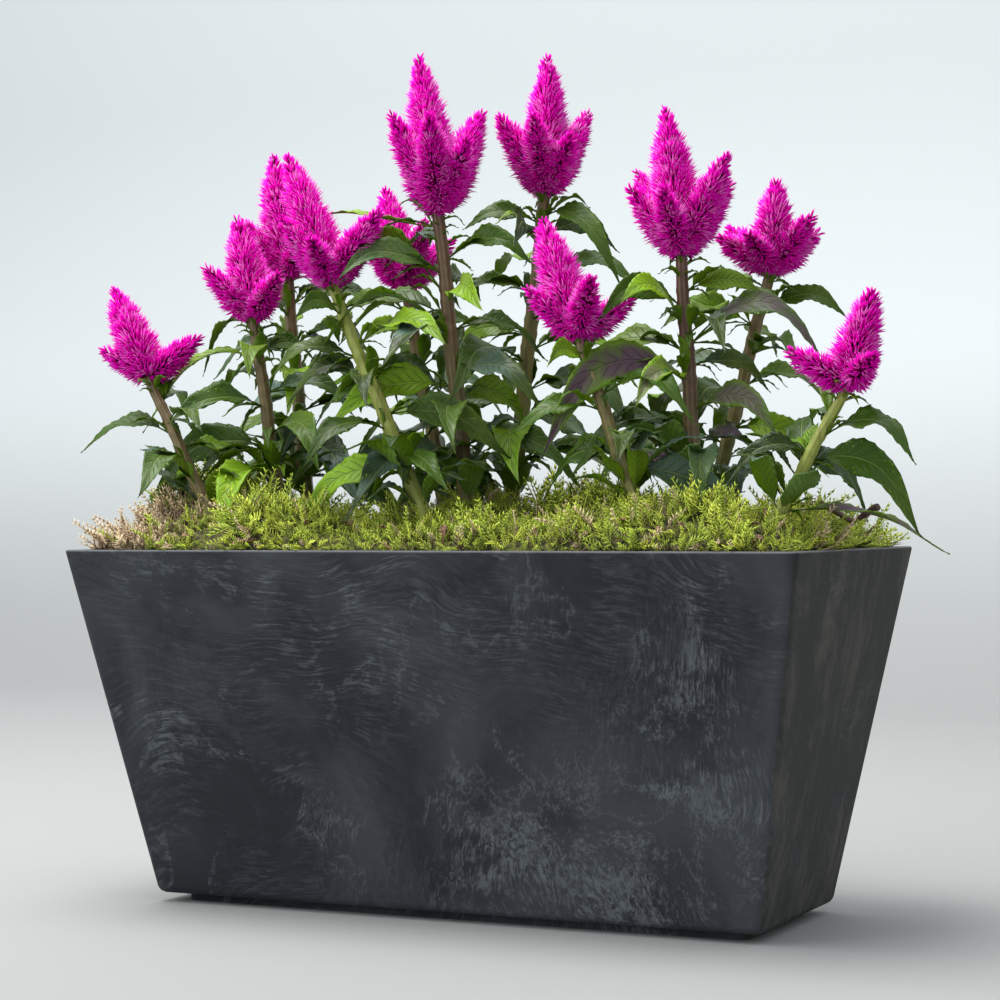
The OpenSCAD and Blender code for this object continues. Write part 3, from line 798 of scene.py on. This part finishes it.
def roughened(node, name, material, cell, depth, scale, inward=0.0, smooth=True):
    """A CAD node's solid as a mesh of its own with that cell size, roughened by noise of that depth."""
    points, tris = welded(node)
    mesh = bpy.data.meshes.new(name)
    mesh.from_pydata(points.tolist(), [], tris.tolist())
    made = bpy.data.objects.new(name, mesh)
    bpy.context.scene.collection.objects.link(made)
    remesh = made.modifiers.new("remesh", "REMESH")
    remesh.mode, remesh.voxel_size = "VOXEL", cell
    fine = bpy.data.meshes.new_from_object(made.evaluated_get(bpy.context.evaluated_depsgraph_get()))
    bpy.data.objects.remove(made)
    co = np.array([v.co for v in fine.vertices], float)
    normal = np.array([v.normal for v in fine.vertices], float)
    rough = np.array([noise.fractal(Vector(p) * scale, 0.8, 2.1, 5) for p in co])
    co += normal * (rough * depth - inward)[:, None]
    fine.vertices.foreach_set("co", co.ravel())
    fine.polygons.foreach_set("use_smooth", np.full(len(fine.polygons), smooth))
    fine.materials.clear()
    fine.materials.append(material)
    fine.update()
    made = bpy.data.objects.new(name, fine)
    bpy.context.scene.collection.objects.link(made)
    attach(made, "planting")
    return made


def root_ball():
    """The potted soil with thin pale roots on its sides."""
    soil = earth("potting_mix", (0.013, 0.009, 0.006), (0.075, 0.047, 0.027))
    ball = roughened("potting_soil", "root_ball", soil, 3.5 * MM, 1.0 * MM, 160.0, 0.8 * MM, False)
    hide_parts("potting_soil")
    rng = np.random.default_rng(5)
    low, high = (np.array(c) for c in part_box("potting_soil"))
    points, tris = welded("potting_soil")
    tree = BVHTree.FromPolygons(points.tolist(), tris.tolist())
    middle = (low + high) / 2
    heap = Heap()
    for _ in range(ROOTS):
        start = mix(low, high, rng.uniform(0.04, 0.96, 3))
        start[2] = mix(low[2], high[2], rng.uniform(0.35, 0.95))
        heading = unit(rng.normal(0, 1, 3) - 1.1 * UP)
        line = []
        for _ in range(rng.integers(14, 34)):
            outward = (start - middle) / (high - low)
            face = int(np.argmax(np.abs(outward[:2])))
            seek = start.copy()
            seek[face] = middle[face] + np.sign(outward[face]) * (high - low)[face]
            spot = tree.find_nearest(Vector(seek))[0]
            line.append(np.array(spot))
            heading = unit(heading + rng.normal(0, 0.38, 3) - 0.12 * UP)
            start = np.array(spot) + heading * 4.5 * MM
        width = np.linspace(1, 0.35, len(line)) * rng.uniform(0.35, 0.75) * MM
        verts, faces, _ = tube(line, width, 5)
        heap.add(verts, faces)
    heap.build("fine_roots", "planting", "soil", bark("root", (0.3, 0.23, 0.14), (0.6, 0.52, 0.38)))


def moss_floor():
    """The dark ground that shows between the sprigs."""
    ground = earth("moss_litter", (0.02, 0.022, 0.006), (0.13, 0.12, 0.03), 240.0)
    roughened("moss_bed", "moss_floor", ground, 4 * MM, 1.6 * MM, 120.0, 1.2 * MM)


def dry_twig():
    skin = bark("twig_bark", (0.03, 0.012, 0.01), (0.11, 0.05, 0.035))
    made = roughened("twig", "dry_twig", skin, 0.5 * MM, 0.35 * MM, 500.0)
    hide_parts("twig")


def litter():
    """Dry leaf bits and bark chips on the moss."""
    rng = np.random.default_rng(12)
    at, normal = surface_points("moss_bed", LITTER_BITS, rng)
    heap = Heap()
    for p, up in zip(at, normal):
        way = unit(np.cross(up, rng.normal(0, 1, 3)))
        size = rng.uniform(4, 11) * MM
        leaf = {
            "joint": p + up * 3 * MM,
            "tip": p + up * rng.uniform(3, 9) * MM + way * size,
            "arch": up * rng.uniform(-0.3, 0.5) * size,
            "side": unit(np.cross(way, up)),
            "half": size * rng.uniform(0.12, 0.32),
        }
        blade(leaf, rng, 0.5, 0, heap)
    heap.build("litter", "planting", "moss", bark("dry_litter", (0.08, 0.04, 0.018), (0.36, 0.2, 0.095)))


# ---------- Assembly ----------


def cad_material(node, material):
    mesh = NODES[node].data
    mesh.materials.clear()
    mesh.materials.append(material)


def plants():
    leaf_material, stem_material, plume_material = leaf_skin(), stem_skin(), plume()
    for i in PLANTS:
        rng = np.random.default_rng(100 + i)
        heap, joints = foliage(i, rng)
        heap.build(f"foliage_{i}", "planting", "leaf", leaf_material, [f"leaves_{i}"])
        stem = ribbed_stem(i, joints)
        stem.build(f"ribbed_stem_{i}", "planting", "stem", stem_material, [f"stem_{i}"])
        foot, axes = spike_axes(i)
        head = Heap()
        for way, length, radius in axes:
            spike(foot, way, length, radius, rng, head)
        head.build(f"plume_{i}", "planting", "bloom", plume_material, [f"bloom_{i}"])


def stage():
    """A pale floor that curves up into a pale wall. Distances are in metres."""
    paint = Shader("backdrop", 0.85, Specular_IOR_Level=0.1)
    height = paint.part(paint.place(), "Z")
    away = paint.add("VectorMath", {0: paint.place()}, output="Value", operation="LENGTH")
    ground = paint.blend(paint.band(away, 2.4, 5.0), (0.355, 0.36, 0.355), (0.6, 0.61, 0.61))
    paint.colour(paint.blend(paint.band(height, 0.0, 0.5), ground, (0.617, 0.653, 0.655)))
    turn = np.linspace(0, math.pi / 2, 24)
    bend, back, reach, high = 0.9, 1.4, 12.0, 4.0
    y = np.concatenate([[-reach], back + bend * np.sin(turn), [back + bend]])
    z = np.concatenate([[0.0], bend * (1 - np.cos(turn)), [high]])
    verts = [(x, a, b) for a, b in zip(y, z) for x in (-reach, reach)]
    mesh = bpy.data.meshes.new("floor")
    mesh.from_pydata(verts, [], [(2 * k, 2 * k + 1, 2 * k + 3, 2 * k + 2) for k in range(len(y) - 1)])
    mesh.polygons.foreach_set("use_smooth", np.full(len(mesh.polygons), True))
    mesh.materials.append(paint.material)
    floor = bpy.data.objects.new("floor", mesh)
    bpy.context.scene.collection.objects.link(floor)


def lamp(name, place, aim, size, power, tint):
    """A square lamp, in metres and watts."""
    data = bpy.data.lights.new(name, "AREA")
    data.shape, data.size, data.energy, data.color = "SQUARE", size, power, tint
    made = bpy.data.objects.new(name, data)
    made.location = place
    made.rotation_euler = (Vector(aim) - Vector(place)).to_track_quat("-Z", "Y").to_euler()
    bpy.context.scene.collection.objects.link(made)


def lights():
    world = bpy.data.worlds.new("studio")
    world.use_nodes = True
    sky = world.node_tree.nodes["Background"]
    sky.inputs["Color"].default_value = (0.93, 0.965, 1.0, 1)
    sky.inputs["Strength"].default_value = 0.86
    bpy.context.scene.world = world
    lamp("overhead", (-0.35, -0.15, 1.6), (0, 0, 0.3), 0.9, 24, (1, 0.98, 0.95))
    lamp("wall_wash", (-1.0, 0.8, 2.7), (-1.1, 2.4, 0.8), 3.0, 52, (0.98, 0.99, 1))
    lamp("front_left", (-1.4, -1.5, 1.1), (0, 0, 0.3), 1.2, 15, (0.97, 0.98, 1))


def camera():
    """At the photograph's viewing angle: a long lens, just above the level of the trough's rim."""
    yaw, pitch, roll = (math.radians(a) for a in (25.4, 0.32, 0.25))
    turn = Matrix.Rotation(yaw, 3, "Z") @ Matrix.Rotation(pitch, 3, "X") @ Matrix.Rotation(roll, 3, "Y")
    data = bpy.data.cameras.new("camera")
    data.sensor_width, data.lens = 36.0, 89.4
    data.clip_start, data.clip_end = 0.05, 50
    made = bpy.data.objects.new("camera", data)
    look = turn @ Matrix.Rotation(math.pi / 2, 3, "X")
    made.matrix_world = Matrix.Translation((0.601, -1.25, 0.219)) @ look.to_4x4()
    bpy.context.scene.collection.objects.link(made)
    bpy.context.scene.camera = made


bpy.context.scene.view_settings.view_transform = "Standard"
cad_material("planter_shell", stone())
cad_material("drainage_shelf", moulded("shelf_plastic", (0.022, 0.023, 0.025), 0.5))
cad_material("drain_plug", moulded("plug_rubber", (0.012, 0.012, 0.013), 0.75, 2600.0))
plants()
root_ball()
moss()
moss_floor()
litter()
dry_twig()
stage()
lights()
camera()
